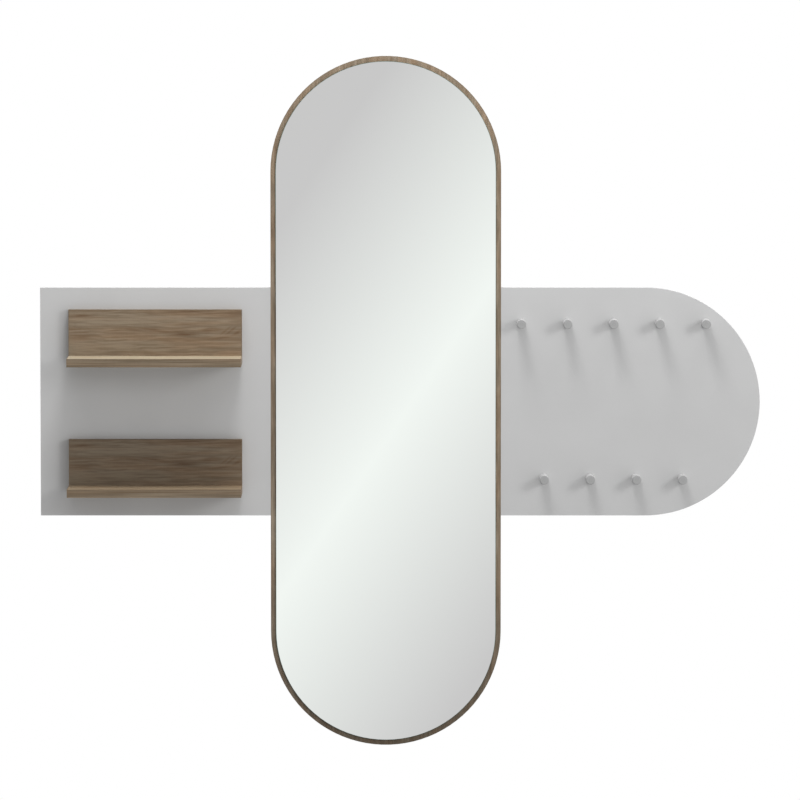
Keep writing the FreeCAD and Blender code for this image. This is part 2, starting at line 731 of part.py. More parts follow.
doc.recompute()
for item in doc.Objects:
    if "Invalid" in item.State or "Error" in item.State:
        raise RuntimeError(f"{item.Label} is {item.State}")
for blank, cut in drillings:
    if not cut.Shape.Volume < blank.Shape.Volume:
        raise RuntimeError(f"no hole was cut in {cut.Label}")
for label, (target, solids) in nodes.items():
    shape = target.Shape
    if shape.isNull() or not shape.isValid():
        raise RuntimeError(f"{label} has no valid shape")
    if len(shape.Solids) != solids:
        raise RuntimeError(f"{label} has {len(shape.Solids)} solids and not {solids}")

os.makedirs("parts", exist_ok=True)
for label, (target, solids) in nodes.items():
    target.Shape.exportStep(f"parts/{label}.step")
print(f"{len(nodes)} nodes written")
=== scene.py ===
# %% [markdown]
# # A hall panel with a mirror, two shelves and nine pegs
#
# The real object hangs on a wall. A tall pill-shaped mirror is stuck to an oak-decor board. A square
# pale board with two oak-decor shelves joins it on the left, and a round-ended pale board with nine
# metal pegs on the right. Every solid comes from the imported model, at its real size and place. This
# lesson gives each piece its finish and sets up the light and the camera of a plain studio.

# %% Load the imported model
import json
import math

import bpy
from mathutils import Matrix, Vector


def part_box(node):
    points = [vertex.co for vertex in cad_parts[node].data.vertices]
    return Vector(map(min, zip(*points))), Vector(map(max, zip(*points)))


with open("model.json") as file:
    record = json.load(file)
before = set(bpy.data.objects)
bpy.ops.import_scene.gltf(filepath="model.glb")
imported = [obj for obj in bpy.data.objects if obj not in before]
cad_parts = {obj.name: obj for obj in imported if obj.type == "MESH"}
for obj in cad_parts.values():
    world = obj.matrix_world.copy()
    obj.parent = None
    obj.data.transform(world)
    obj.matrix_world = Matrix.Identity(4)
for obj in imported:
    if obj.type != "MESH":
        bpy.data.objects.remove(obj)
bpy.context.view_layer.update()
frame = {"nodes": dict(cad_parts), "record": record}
nodes = frame["nodes"]
scene = bpy.context.scene
scene.view_settings.view_transform = "Standard"

# %% [markdown]
# ## Camera
#
# The picture was taken from far away with a long lens, straight in front of the wall and about 4
# degrees above the middle of the mirror. A short lens close by would show the ends of the shelves, so
# the distance matters more than the zoom. The camera is placed by its distance and its height angle
# from the point that it looks at.

# %% Place the camera
AIM_POINT = Vector((0.0308, -0.024, 0.0037))
CAMERA_DISTANCE = 15.0
CAMERA_RISE = math.radians(4.28)
LENS = 310.8
SENSOR_WIDTH = 36.0
FAR_LIMIT = 100.0

towards_camera = Vector((0, -math.cos(CAMERA_RISE), math.sin(CAMERA_RISE)))
camera_data = bpy.data.cameras.new("long_lens")
camera_data.sensor_width = SENSOR_WIDTH
camera_data.lens = LENS
camera_data.clip_end = FAR_LIMIT
camera = bpy.data.objects.new("camera", camera_data)
camera.location = AIM_POINT + CAMERA_DISTANCE * towards_camera
camera.rotation_euler = towards_camera.to_track_quat("Z", "Y").to_euler()
scene.collection.objects.link(camera)
scene.camera = camera
print("camera at", tuple(camera.location))

# %% [markdown]
# ## Shader nodes in code
#
# A material in Blender is a tree of nodes. Written out in full, each node takes a line to make and a
# line for every link. The helpers below make a node, set it and link its inputs in one call, so the
# finishes that follow read from top to bottom like a recipe.

# %% Helpers that make nodes


def make(tree, kind, inputs=None, **settings):
    """A new node with its settings. Each input gets a value, or a link if another node's socket is given."""
    node = tree.nodes.new(f"ShaderNode{kind}")
    for name, value in settings.items():
        setattr(node, name, value)
    for key, value in (inputs or {}).items():
        if isinstance(value, bpy.types.NodeSocket):
            tree.links.new(value, node.inputs[key])
        else:
            node.inputs[key].default_value = value
    return node


def calculate(tree, operation, *values):
    """One step of arithmetic."""
    return make(tree, "Math", dict(enumerate(values)), operation=operation).outputs[0]


def remap(tree, value, low, high, new_low=0.0, new_high=1.0):
    """A value carried smoothly from one range to another, and held at the ends."""
    inputs = {0: value, 1: low, 2: high, 3: new_low, 4: new_high}
    return make(tree, "MapRange", inputs, interpolation_type="SMOOTHSTEP").outputs[0]


def stretch(tree, vector, scale):
    """A vector with each axis scaled by its own amount."""
    return make(tree, "VectorMath", {0: vector, 1: scale}, operation="MULTIPLY").outputs[0]


def enlarge(tree, vector, amount):
    """A vector scaled by one amount, which may come from a socket."""
    return make(tree, "VectorMath", {0: vector, "Scale": amount}, operation="SCALE").outputs[0]


def noise(tree, vector, detail=2.0, roughness=0.5):
    """Soft noise from 0 to 1, one cell to each unit of the vector."""
    inputs = {"Vector": vector, "Scale": 1.0, "Detail": detail, "Roughness": roughness}
    return make(tree, "TexNoise", inputs).outputs["Fac"]


MIX_FACTOR, MIX_FIRST, MIX_SECOND, MIX_RESULT = 0, 6, 7, 2


def mix(tree, factor, first, second, blend="MIX"):
    """Two colours mixed by a factor."""
    inputs = {MIX_FACTOR: factor, MIX_FIRST: first, MIX_SECOND: second}
    return make(tree, "Mix", inputs, data_type="RGBA", blend_type=blend).outputs[MIX_RESULT]


print("helpers ready")

# %% [markdown]
# ## World
#
# The picture has a pure white background and a soft light that comes mostly from above and from the
# right. White comes from the world as the camera, a mirror or a piece of metal sees it, and a grey that
# grows towards the right from the same world lights the surfaces. A share of grey from behind lights the
# back in other views, and a share from below stands for what a pale floor would throw back.

# %% Light the studio with the world
GREY_LEVEL = 0.35
RIGHT_LEVEL = 1.35
BEHIND_LEVEL = 0.8
BELOW_LEVEL = 0.38
SIDE_FALL = 2.0
WHITE = (1.0, 1.0, 1.0, 1.0)

world = bpy.data.worlds.new("studio")
world.use_nodes = True
scene.world = world
tree = world.node_tree
tree.nodes.clear()
ways = make(tree, "SeparateXYZ", {0: make(tree, "TexCoord").outputs["Generated"]}).outputs


def from_side(tree, way, level):
    """Light that grows from nothing, square to a side, to its full level straight at that side."""
    towards = calculate(tree, "MAXIMUM", way, 0.0)
    return calculate(tree, "MULTIPLY", calculate(tree, "POWER", towards, SIDE_FALL), level)


right = from_side(tree, ways["X"], RIGHT_LEVEL)
behind = from_side(tree, ways["Y"], BEHIND_LEVEL)
downwards = calculate(tree, "MULTIPLY", ways["Z"], -1.0)
below = from_side(tree, downwards, BELOW_LEVEL)
grey = calculate(tree, "ADD", calculate(tree, "ADD", right, behind), below)
grey = calculate(tree, "ADD", grey, GREY_LEVEL)
rays = make(tree, "LightPath").outputs
seen = calculate(tree, "ADD", rays["Is Camera Ray"], rays["Is Glossy Ray"])
seen = calculate(tree, "ADD", seen, rays["Is Transmission Ray"])
grey_light = make(tree, "Background", {"Color": WHITE, "Strength": grey}).outputs[0]
white_view = make(tree, "Background", {"Color": WHITE, "Strength": 1.0}).outputs[0]
either = make(tree, "MixShader", {0: seen, 1: grey_light, 2: white_view}).outputs[0]
make(tree, "OutputWorld", {"Surface": either})
print("world light", GREY_LEVEL, "to", GREY_LEVEL + RIGHT_LEVEL)

# %% [markdown]
# ## Lamps
#
# The world alone would leave the object flat, so lamps draw the shadows. A low one at the right throws
# the pegs' short shadows to the left. The others hang high in front of the wall: they throw the long
# shadows downwards, light the tops of the shelves and leave the lower shelf in the shade of the upper
# one. They are area lamps, because the size of such a lamp sets how soft its shadows are.

# %% Hang the lamps
LAMPS = {
    # place, point it looks at, width and depth, watts, and whether glass and metal mirror it
    "side_lamp": ((2.9, -2.87, 1.15), (0, 0, 0), (1.0, 1.0), 33, True),
    "front_lamp": ((-0.1, -0.9, 2.8), (0, 0, 0), (0.8, 0.7), 42, False),
    "wide_lamp": ((0, -1.0, 2.4), (0, 0, 0), (3.0, 0.8), 11, False),
    "high_lamp": ((0, -0.65, 4.2), (0, -0.2, 0), (4.5, 0.9), 80, False),
}
for name, (place, aim, size, watts, mirrored) in LAMPS.items():
    data = bpy.data.lights.new(name, "AREA")
    data.shape = "RECTANGLE"
    data.size, data.size_y = size
    data.energy = watts
    lamp = bpy.data.objects.new(name, data)
    lamp.location = place
    lamp.visible_glossy = mirrored
    lamp.rotation_euler = (Vector(place) - Vector(aim)).to_track_quat("Z", "Y").to_euler()
    scene.collection.objects.link(lamp)
    print(name, "at", place, watts, "W")

# %% [markdown]
# ## Floor
#
# The floor lies 450 mm under the mirror, as it would in a hall. It is plain and pale, takes the object's
# shadow, and stops short of the main picture, where nothing but white shows. The world's share from
# below already lights the undersides evenly, so the floor itself throws no light back up.

# %% Lay the floor
FLOOR_HEIGHT = -1.2
FLOOR_REACH = 2.3
FLOOR_STEPS = 96
FLOOR_COLOUR = (0.42, 0.42, 0.415, 1.0)
FLOOR_ROUGHNESS = 0.8


def flat_piece(name, corners):
    """A flat piece of the stage, with these corners."""
    mesh = bpy.data.meshes.new(name)
    mesh.from_pydata(corners, [], [range(len(corners))])
    piece = bpy.data.objects.new(name, mesh)
    scene.collection.objects.link(piece)
    return piece


angles = [math.tau * step / FLOOR_STEPS for step in range(FLOOR_STEPS)]
rim = [(FLOOR_REACH * math.cos(angle), FLOOR_REACH * math.sin(angle), FLOOR_HEIGHT) for angle in angles]
floor = flat_piece("floor", rim)
floor_paint = bpy.data.materials.new("floor_paint")
floor_paint.use_nodes = True
floor_shader = floor_paint.node_tree.nodes["Principled BSDF"]
floor_shader.inputs["Base Color"].default_value = FLOOR_COLOUR
floor_shader.inputs["Roughness"].default_value = FLOOR_ROUGHNESS
floor.data.materials.append(floor_paint)
floor.visible_diffuse = False
print("floor at", FLOOR_HEIGHT, "m")

# %% [markdown]
# ## What the mirror sees
#
# A mirror has no colour of its own: it shows what stands in front of it. In a studio that is a large
# card lit from one side, and its soft slanting bands are what the picture shows on the glass. Here the
# card is not lit but glows by itself: its bands are painted light. The card here is seen only by
# reflections. Its bands run through its own coordinates, so they stay put when the camera moves.

# %% Hang the reflector card
CARD_DISTANCE = 2.0
CARD_REACH = 3.5
BAND_POINT = Vector((0.011, -0.028, -0.069))
BAND_SLOPE = (0.829, 0.0, -0.561)
BAND_FALL = 0.455
BAND_STEP = 0.9
BAND_BRIGHT = (0.955, 0.995, 0.962, 1.0)
BAND_GREY = (0.622, 0.618, 0.62, 1.0)

spread = CARD_DISTANCE / (BAND_POINT.y - camera.location.y)
card_centre = BAND_POINT + (BAND_POINT - camera.location) * spread
card = flat_piece("reflector_card", [
    (-CARD_REACH, 0, -CARD_REACH), (CARD_REACH, 0, -CARD_REACH),
    (CARD_REACH, 0, CARD_REACH), (-CARD_REACH, 0, CARD_REACH),
])
card.location = (card_centre.x, BAND_POINT.y - CARD_DISTANCE, card_centre.z)
card.visible_camera = False
card.visible_diffuse = False
card.visible_transmission = False
card.visible_shadow = False

card_light = bpy.data.materials.new("card_light")
card_light.use_nodes = True
tree = card_light.node_tree
tree.nodes.clear()
place = make(tree, "TexCoord").outputs["Object"]
across = make(tree, "VectorMath", {0: place, 1: BAND_SLOPE}, operation="DOT_PRODUCT").outputs["Value"]
from_band = calculate(tree, "PINGPONG", across, BAND_STEP)
share = calculate(tree, "DIVIDE", from_band, BAND_FALL * (1 + spread))
share = calculate(tree, "MINIMUM", share, 1.0)
# painted light: the card's bands glow, standing in for a card lit from one side
band_colour = mix(tree, share, BAND_BRIGHT, BAND_GREY)
glow = make(tree, "Emission", {"Color": band_colour, "Strength": 1.0}).outputs[0]
make(tree, "OutputMaterial", {"Surface": glow})
card.data.materials.append(card_light)
print("card centre", tuple(card.location))

# %% [markdown]
# ## Node groups
#
# An effect that several finishes share is built once as a node group, a box of nodes with its own named
# inputs and outputs. Each finish places the group and gives it its own values. The helpers open a group
# with its sockets, close it with its results and place it in a finish.

# %% Helpers that make groups


def open_group(name, inputs, outputs):
    """A new group, and its inner inputs. Inputs are name: (kind, value), outputs are name: kind."""
    group = bpy.data.node_groups.new(name, "ShaderNodeTree")
    for socket_name, (kind, value) in inputs.items():
        socket = group.interface.new_socket(socket_name, in_out="INPUT", socket_type=f"NodeSocket{kind}")
        socket.default_value = value
    for socket_name, kind in outputs.items():
        group.interface.new_socket(socket_name, in_out="OUTPUT", socket_type=f"NodeSocket{kind}")
    return group, group.nodes.new("NodeGroupInput").outputs


def close_group(group, results):
    """Link the results to the group's outputs."""
    ends = group.nodes.new("NodeGroupOutput").inputs
    for name, socket in results.items():
        group.links.new(socket, ends[name])
    print("group", group.name, "has", len(group.nodes), "nodes")


def place_group(tree, group, inputs):
    """The outputs of a group placed in a finish."""
    return make(tree, "Group", inputs, node_tree=group).outputs


print("ready for groups")

# %% [markdown]
# ### Streaks of the oak decor
#
# The shelves and the mirror's board carry a printed oak decor. Both shelves show the same print: a brown
# streak along the top, a lens of brown heartwood a little above the middle and slanting arches at the
# right end, over fine lines that run lengthwise. Noise would not put the streaks and the lens where the
# real print has them, so they are drawn as slim ellipses, each with its place, size and tilt.

# %% Draw the streaks of the oak print
STREAKS = [
    # along the board, below its top edge, half length, half height, tilt in degrees, strength
    (0.300, 0.006, 0.120, 0.0070, 0, 0.34),
    (0.150, 0.008, 0.090, 0.0045, 1, 0.16),
    (0.028, 0.012, 0.020, 0.0034, 0, 0.22),
    (0.036, 0.0415, 0.050, 0.0028, 1, 0.42),
    (0.034, 0.0475, 0.040, 0.0024, 0, 0.38),
    (0.098, 0.0435, 0.024, 0.0026, -9, 0.30),
    (0.135, 0.0415, 0.026, 0.0026, 4, 0.30),
    (0.118, 0.0580, 0.052, 0.0026, -3, 0.26),
    (0.190, 0.0435, 0.036, 0.0034, 8, 0.55),
    (0.240, 0.0480, 0.046, 0.0080, 1, 0.40),
    (0.246, 0.0535, 0.040, 0.0024, -2, 0.34),
    (0.303, 0.0430, 0.030, 0.0040, -2, 0.40),
    (0.340, 0.0440, 0.017, 0.0026, -38, 0.32),
    (0.353, 0.0430, 0.017, 0.0026, -38, 0.34),
    (0.369, 0.0460, 0.017, 0.0038, -30, 0.46),
    (0.330, 0.0600, 0.044, 0.0028, -8, 0.24),
    (0.110, 0.0240, 0.150, 0.0130, 0, -0.20),
    (0.300, 0.0230, 0.095, 0.0100, 0, -0.14),
    (0.180, 0.0800, 0.230, 0.0170, 0, -0.10),
]
WHOLE_DEPTH = 10.0
# A streak is full at its core and gone at its end, in shares of its half sizes
STREAK_CORE = 0.1
STREAK_END = 1.3

print_group, drawn = open_group("oak_streaks", {"Vector": ("Vector", (0, 0, 0))}, {"Streaks": "Float"})
streaks = 0.0
for along, below, half_length, half_height, tilt, strength in STREAKS:
    turned = make(print_group, "Mapping", {
        "Vector": drawn["Vector"], "Location": (along, 0, -below), "Rotation": (0, math.radians(tilt), 0),
        "Scale": (half_length, WHOLE_DEPTH, half_height),
    }, vector_type="TEXTURE").outputs[0]
    far = make(print_group, "VectorMath", {0: turned}, operation="LENGTH").outputs["Value"]
    streak = remap(print_group, far, STREAK_CORE, STREAK_END, strength, 0.0)
    streaks = calculate(print_group, "ADD", streaks, streak)
close_group(print_group, {"Streaks": streaks})

# %% [markdown]
# ### Layers of the oak decor
#
# The rest of the print is bands, lines and threads along the grain, fine marks across it and short dark
# pores. A photo of a board could be mapped on, but noise stays sharp at any distance. For the lines and
# threads it is drawn out about sixteen times along the grain. All layers but two are bent by a slow
# sway, so that the lines don't run dead straight.

# %% Build the oak decor
# Most of a noise lies in this span
NOISE_SPAN = (0.3, 0.7)
SWAY_CELLS = (7, 16, 16)
SWAY_REACH = 0.012
OAK_LAYERS = {
    # cells to the metre along the grain and both ways across it, detail, roughness, whether it sways
    "lines": ((9, 150, 150), 3.0, 0.6, True),
    "threads": ((17, 270, 270), 1.0, 0.5, True),
    "bands": ((3, 42, 42), 2.0, 0.5, True),
    "patches": ((3, 14, 14), 2.0, 0.5, False),
    "cross": ((420, 12, 12), 2.0, 0.5, False),
    "warmth": ((7, 75, 75), 1.0, 0.5, True),
    "dashes": ((45, 1700, 1700), 1.0, 0.5, True),
}
PORE_LIMITS = (0.6, 0.75)
STREAK_SHARES = (0.35, 1.2)

oak_group, drawn = open_group("oak_decor", {
    "Vector": ("Vector", (0, 0, 0)),
    "Light": ("Color", WHITE), "Middle": ("Color", WHITE), "Dark": ("Color", WHITE),
    "Streaks": ("Float", 0.0), "Pores": ("Float", 1.0), "Tone": ("Float", 1.0),
}, {"Color": "Color", "Height": "Float", "Roughness": "Float"})
grain = drawn["Vector"]
sway = calculate(oak_group, "SUBTRACT", noise(oak_group, stretch(oak_group, grain, SWAY_CELLS)), 0.5)
sway = calculate(oak_group, "MULTIPLY", sway, SWAY_REACH)
swayed = make(oak_group, "CombineXYZ", {1: sway, 2: sway}).outputs[0]
swayed = make(oak_group, "VectorMath", {0: grain, 1: swayed}, operation="ADD").outputs[0]
layers = {}
for name, (cells, detail, roughness, sways) in OAK_LAYERS.items():
    source = swayed if sways else grain
    layers[name] = noise(oak_group, stretch(oak_group, source, cells), detail, roughness)
pores = remap(oak_group, layers["dashes"], *PORE_LIMITS)
pores = calculate(oak_group, "MULTIPLY", pores, drawn["Pores"])
drawing = remap(oak_group, layers["lines"], *NOISE_SPAN, *STREAK_SHARES)
drawing = calculate(oak_group, "MULTIPLY", drawn["Streaks"], drawing)
print("oak layers", list(layers))

# %% [markdown]
# ### Colours of the oak decor
#
# The layers add up to one shade, and three colours from light to dark follow it. That alone would give
# all the wood one hue, so a tint that changes between grey and red lies over it. The pores dent the
# surface, and darker wood is a little rougher.

# %% Colour the oak decor
GREY_TINT = (0.98, 1.0, 1.0, 1.0)
RED_TINT = (1.05, 0.975, 0.90, 1.0)
SHADE_START = -0.685
SHADE_SHARES = {"lines": 0.85, "threads": 0.8, "bands": 0.48, "patches": 0.12, "cross": 0.08}
PORE_SHADE = 0.22
PORE_HEIGHT = -0.8
MIDDLE_SHADES = (0.15, 0.65)
DARK_SHADES = (0.55, 1.15)
STREAK_WARMTH = 0.7
WARMTH_LIMITS = (0.32, 0.72)
ROUGH_SHADES = (0.2, 0.9)
OAK_ROUGHNESS = (0.5, 0.64)

shade = SHADE_START
for name, share in SHADE_SHARES.items():
    shade = calculate(oak_group, "MULTIPLY_ADD", layers[name], share, shade)
shade = calculate(oak_group, "ADD", shade, drawing)
shade = calculate(oak_group, "MULTIPLY_ADD", pores, PORE_SHADE, shade)
pale = mix(oak_group, remap(oak_group, shade, *MIDDLE_SHADES), drawn["Light"], drawn["Middle"])
brown = mix(oak_group, remap(oak_group, shade, *DARK_SHADES), pale, drawn["Dark"])
reddened = calculate(oak_group, "MULTIPLY_ADD", drawing, STREAK_WARMTH, layers["warmth"])
tint = mix(oak_group, remap(oak_group, reddened, *WARMTH_LIMITS), GREY_TINT, RED_TINT)
brown = mix(oak_group, 1.0, brown, enlarge(oak_group, tint, drawn["Tone"]), blend="MULTIPLY")
height = calculate(oak_group, "MULTIPLY_ADD", pores, PORE_HEIGHT, layers["lines"])
rough = remap(oak_group, shade, *ROUGH_SHADES, *OAK_ROUGHNESS)
close_group(oak_group, {"Color": brown, "Height": height, "Roughness": rough})

# %% [markdown]
# ### Pressed texture
#
# The pale boards, their edging, the foam tape and the rubber pads all have a fine pebbled skin from the
# plate or mould that pressed them. Two sizes of noise make it, a fine one for the pebbles and a coarse
# one for the soft clouds of tone that keep a large plain face from looking dead.

# %% Build the pressed texture
CLOUD_SHARE = 0.55
PEBBLE_SHARE = 0.45
PRESSED_ROUGHNESS = (0.52, 0.66)

pressed_group, drawn = open_group("pressed_texture", {
    "Vector": ("Vector", (0, 0, 0)), "Pebbles": ("Float", 700.0), "Clouds": ("Float", 9.0),
    "Pale": ("Color", WHITE), "Deep": ("Color", WHITE),
}, {"Color": "Color", "Height": "Float", "Roughness": "Float"})
pebbles = noise(pressed_group, enlarge(pressed_group, drawn["Vector"], drawn["Pebbles"]), detail=2.0)
clouds = noise(pressed_group, enlarge(pressed_group, drawn["Vector"], drawn["Clouds"]), detail=3.0)
tone = calculate(pressed_group, "MULTIPLY", clouds, CLOUD_SHARE)
tone = calculate(pressed_group, "MULTIPLY_ADD", pebbles, PEBBLE_SHARE, tone)
colour = mix(pressed_group, remap(pressed_group, tone, *NOISE_SPAN), drawn["Pale"], drawn["Deep"])
rough = remap(pressed_group, tone, *NOISE_SPAN, *PRESSED_ROUGHNESS)
close_group(pressed_group, {"Color": colour, "Height": pebbles, "Roughness": rough})

# %% [markdown]
# ### Handling marks
#
# Glass and metal pick up faint smears where hands and cloths have been. They hardly change the colour,
# but they blur the reflection a little in patches, so the group gives one mask that the finishes use for
# roughness. Its input says how many smears there are to the metre.

# %% Build the handling marks
SMEAR_STRETCH = (1.0, 1.0, 0.45)
SMEAR_LIMITS = (0.45, 0.75)
SMEAR_SHARE = 0.65
SPECK_STRETCH = (6.0, 6.0, 6.0)
SPECK_LIMITS = (0.55, 0.8)
SPECK_SHARE = 0.35

marks_group, drawn = open_group("handling_marks", {
    "Vector": ("Vector", (0, 0, 0)), "Smears": ("Float", 20.0),
}, {"Mask": "Float"})
wide = enlarge(marks_group, drawn["Vector"], drawn["Smears"])
smear = noise(marks_group, stretch(marks_group, wide, SMEAR_STRETCH), detail=4.0, roughness=0.6)
smear = remap(marks_group, smear, *SMEAR_LIMITS, 0.0, SMEAR_SHARE)
speck = noise(marks_group, stretch(marks_group, wide, SPECK_STRETCH), detail=2.0)
speck = remap(marks_group, speck, *SPECK_LIMITS)
mask = calculate(marks_group, "MULTIPLY_ADD", speck, SPECK_SHARE, smear)
close_group(marks_group, {"Mask": mask})

# %% [markdown]
# ## Finishes
#
# A finish is one material: groups give it what changes over the surface, and what is the same all over
# is set on its shader. The first helper opens a finish and gives its tree, its shader's sockets and the
# place of each point in metres. The second tells which way the surface faces, and the third links a
# group's results to the shader.

# %% Helpers for finishes
finishes = {}


def open_finish(name, **plain):
    """A new finish. Plain values are set on the shader as they are."""
    material = bpy.data.materials.new(name)
    material.use_nodes = True
    finishes[name] = material
    tree = material.node_tree
    shader = tree.nodes["Principled BSDF"]
    for key, value in plain.items():
        shader.inputs[key.replace("_", " ")].default_value = value
    return tree, shader.inputs, make(tree, "TexCoord").outputs["Object"]


def facing(tree, axis):
    """How far the surface faces along an axis: 1 straight along it, and -1 straight against it."""
    normal = make(tree, "NewGeometry").outputs["True Normal"]
    return make(tree, "SeparateXYZ", {0: normal}).outputs[axis]


def feed(tree, sockets, results, depth):
    """Link a group's colour, roughness and height to a shader, the height as bumps this deep in metres."""
    tree.links.new(results["Color"], sockets["Base Color"])
    tree.links.new(results["Roughness"], sockets["Roughness"])
    bump = make(tree, "Bump", {"Height": results["Height"], "Strength": 1.0, "Distance": depth})
    tree.links.new(bump.outputs[0], sockets["Normal"])


print("ready for finishes")

# %% [markdown]
# ### Pale boards, tape and rubber
#
# The left and right boards are faced with a pale grey melamine and edged with a band of the same colour.
# The tape behind the glass is a white foam, and the pads that keep the boards off the wall are dark
# rubber. One group with four sets of values makes them all, because they differ only in colour and in
# the size of their pebbles and clouds.

# %% Finish the pressed surfaces
DULL_SPECULAR = 0.2
PRESSED = {
    # pale and deep colour, pebbles and clouds to the metre, depth of the pebbles in metres
    "panel_melamine": ((0.562, 0.562, 0.562, 1), (0.540, 0.540, 0.540, 1), 700.0, 9.0, 0.00003),
    "panel_edging": ((0.562, 0.562, 0.562, 1), (0.536, 0.536, 0.536, 1), 1100.0, 25.0, 0.00003),
    "mounting_tape": ((0.74, 0.74, 0.71, 1), (0.60, 0.60, 0.57, 1), 900.0, 30.0, 0.0002),
    "bumper_rubber": ((0.075, 0.075, 0.078, 1), (0.045, 0.045, 0.048, 1), 1400.0, 60.0, 0.00006),
}
for name, (pale, deep, pebbles, clouds, depth) in PRESSED.items():
    tree, sockets, place = open_finish(name, Specular_IOR_Level=DULL_SPECULAR)
    inputs = {"Vector": place, "Pebbles": pebbles, "Clouds": clouds, "Pale": pale, "Deep": deep}
    feed(tree, sockets, place_group(tree, pressed_group, inputs), depth)
print(list(finishes))

# %% [markdown]
# ### Oak-decor shelves
#
# The grain of the shelves runs from side to side, and that is the axis along which the decor group reads
# it. The shelves measure the place from their left upper corner, so that both show the same drawing. As
# the picture shows them, the upper shelf's board is painted paler than its back, which is painted light
# from above on its top, and the lower shelf's board and back are painted darker, which is painted shade
# under the upper shelf. So each solid gets a finish of its own from one function.

# %% Finish the shelves
BACK_COLOURS = {
    "Light": (0.277, 0.215, 0.151, 1), "Middle": (0.195, 0.142, 0.094, 1), "Dark": (0.129, 0.084, 0.051, 1),
}
# painted light: the upper board is paler than its back, for the light from above on its top
UPPER_BOARD_PAINTED_LIGHT = {
    "Light": (0.433, 0.376, 0.280, 1), "Middle": (0.327, 0.276, 0.199, 1), "Dark": (0.216, 0.167, 0.113, 1),
}
# painted shade: the lower board is darker, for the shade of the upper shelf
LOWER_BOARD_PAINTED_SHADE = {
    "Light": (0.284, 0.223, 0.152, 1), "Middle": (0.210, 0.157, 0.104, 1), "Dark": (0.138, 0.095, 0.059, 1),
}
SHELVES = {
    # board colours: painted light on the upper, painted shade on the lower; back tone: painted shade on the
    # lower
    "upper": (UPPER_BOARD_PAINTED_LIGHT, 1.0),
    "lower": (LOWER_BOARD_PAINTED_SHADE, 0.77),
}
GRAIN_DEPTH = 0.00006
oak_of_node = {}


def oak_finish(node, grain_of_place, colours, **more):
    """One solid's oak-decor finish. A function of tree and place gives its grain.

    Each further input is a value, or a function of tree and grain.
    """
    tree, sockets, place = open_finish(f"{node}_oak", Specular_IOR_Level=DULL_SPECULAR)
    grain = grain_of_place(tree, place)
    inputs = {"Vector": grain, **colours}
    for name, value in more.items():
        inputs[name] = value(tree, grain) if callable(value) else value
    feed(tree, sockets, place_group(tree, oak_group, inputs), GRAIN_DEPTH)
    oak_of_node[node] = f"{node}_oak"


def print_streaks(tree, grain):
    """The streaks of the oak print."""
    return place_group(tree, print_group, {"Vector": grain})["Streaks"]


for level, (board_painted_light_and_shade, back_painted_shade) in SHELVES.items():
    low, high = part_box(f"{level}_shelf_back")
    corner = (low[0], high[1], high[2])

    def from_corner(tree, place, corner=corner):
        """A place measured from the shelf's left upper corner."""
        return make(tree, "VectorMath", {0: place, 1: corner}, operation="SUBTRACT").outputs[0]

    # The lower back's tone is painted shade from the upper shelf
    oak_finish(f"{level}_shelf_back", from_corner, BACK_COLOURS, Streaks=print_streaks, Tone=back_painted_shade)
    oak_finish(f"{level}_shelf_board", from_corner, board_painted_light_and_shade)
print("oak on", list(oak_of_node))

# %% [markdown]
# ### Oak-decor board of the mirror
#
# The grain of the mirror's board runs upwards, so its finish turns the place before the decor group
# reads it. From the front only a narrow border shows round the glass. The picture shows it darker
# towards the foot, and that is painted shade: a tone that follows the height darkens the colours towards
# the foot, and soft patches of random tone lie over it.

# %% Finish the mirror's board
MIRROR_OAK_COLOURS = {
    "Light": (0.33, 0.262, 0.195, 1), "Middle": (0.232, 0.175, 0.121, 1), "Dark": (0.135, 0.089, 0.056, 1),
}
# painted shade: between these heights the colours grow darker towards the board's foot
FOOT_SHADE_HEIGHTS = (-0.80, -0.30)
PAINTED_FOOT_SHADE = (0.51, 0.97)
PATCH_CELLS = (26, 60, 60)
PATCH_TONES = (0.88, 1.1)


def turn(tree, place, order):
    """A place with its axes in another order. "ZXY" puts the height first: the grain then runs upwards."""
    axes = make(tree, "SeparateXYZ", {0: place}).outputs
    return make(tree, "CombineXYZ", {index: axes[axis] for index, axis in enumerate(order)}).outputs[0]


def upwards(tree, place):
    """A place turned so that the grain runs upwards."""
    return turn(tree, place, "ZXY")


def painted_foot_shade_and_patches(tree, grain):
    """The tone of the mirror's board: even above, painted shade darker towards its foot, with soft patches
    of random tone.
    """
    height = make(tree, "SeparateXYZ", {0: grain}).outputs["X"]
    patches = noise(tree, stretch(tree, grain, PATCH_CELLS))
    patches = remap(tree, patches, *NOISE_SPAN, *PATCH_TONES)
    return calculate(tree, "MULTIPLY", remap(tree, height, *FOOT_SHADE_HEIGHTS, *PAINTED_FOOT_SHADE), patches)


oak_finish("mirror_board", upwards, MIRROR_OAK_COLOURS, Tone=painted_foot_shade_and_patches)
print("oak on mirror_board:", oak_of_node["mirror_board"])

# %% [markdown]
# ### Oak-decor edge bands
#
# An edge band is a long narrow strip, and its printed lines always run along it. On a shelf the strips
# at the front run from side to side, and those at the ends run from front to back, or upwards on the
# back board. The finish tells them apart by the way the surface faces. The band of the mirror's board
# runs right round it, so its lines change with the depth and, slowly, with the height.

# %% Finish the oak-decor edge bands
EDGE_COLOURS = {
    "Light": (0.276, 0.214, 0.149, 1), "Middle": (0.163, 0.120, 0.078, 1), "Dark": (0.088, 0.059, 0.035, 1),
}
VECTOR_FIRST, VECTOR_SECOND, VECTOR_RESULT = 4, 5, 1
EDGE_STRIPS = {
    # order of the axes at the ends, tone
    "board": ("YZX", 0.98),
    "back": ("ZYX", 0.85),
}
STRIP_STRETCH = (0.35, 1.4, 1.4)
SIDEWAYS_LIMIT = 0.7


